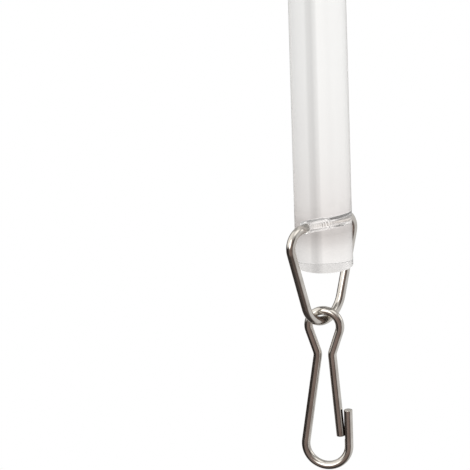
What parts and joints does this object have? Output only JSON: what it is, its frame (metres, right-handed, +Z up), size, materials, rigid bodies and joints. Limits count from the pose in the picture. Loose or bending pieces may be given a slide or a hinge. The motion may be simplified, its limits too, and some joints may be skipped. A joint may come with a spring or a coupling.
{
  "type": "curtain wand",
  "caption": "Hanging curtain wand: a clear acrylic rod, cross-drilled near its top, on a bent wire ring and a spring-gate wire snap hook.",
  "frame": {"origin": "inside of the hook's bight, where a curtain carrier bears when the wand hangs in use", "axes": "+Z up, along the hanging rod; the hook lies in the XZ plane, with its gate on the -X side"},
  "size_m": [0.01, 0.016, 0.5375],
  "materials": {
    "bright_nickel": "polished nickel plate on bent steel wire",
    "clear_acrylic": "clear polished acrylic"
  },
  "bodies": {
    "hook": {"snap_hook": "bright_nickel"},
    "ring": {"triangle_ring": "bright_nickel"},
    "rod": {"acrylic_rod": "clear_acrylic"}
  },
  "joints": [
    {"name": "ring_swing", "type": "hinge", "parent": "hook", "child": "ring", "pos_m": [0, 0, -0.02775], "axis": [1, 0, 0], "range_deg": [-45, 45]},
    {"name": "rod_swing", "type": "hinge", "parent": "ring", "child": "rod", "pos_m": [0, 0, -0.0438], "axis": [0.4695, -0.8829, 0], "range_deg": [-135, 135]}
  ]
}
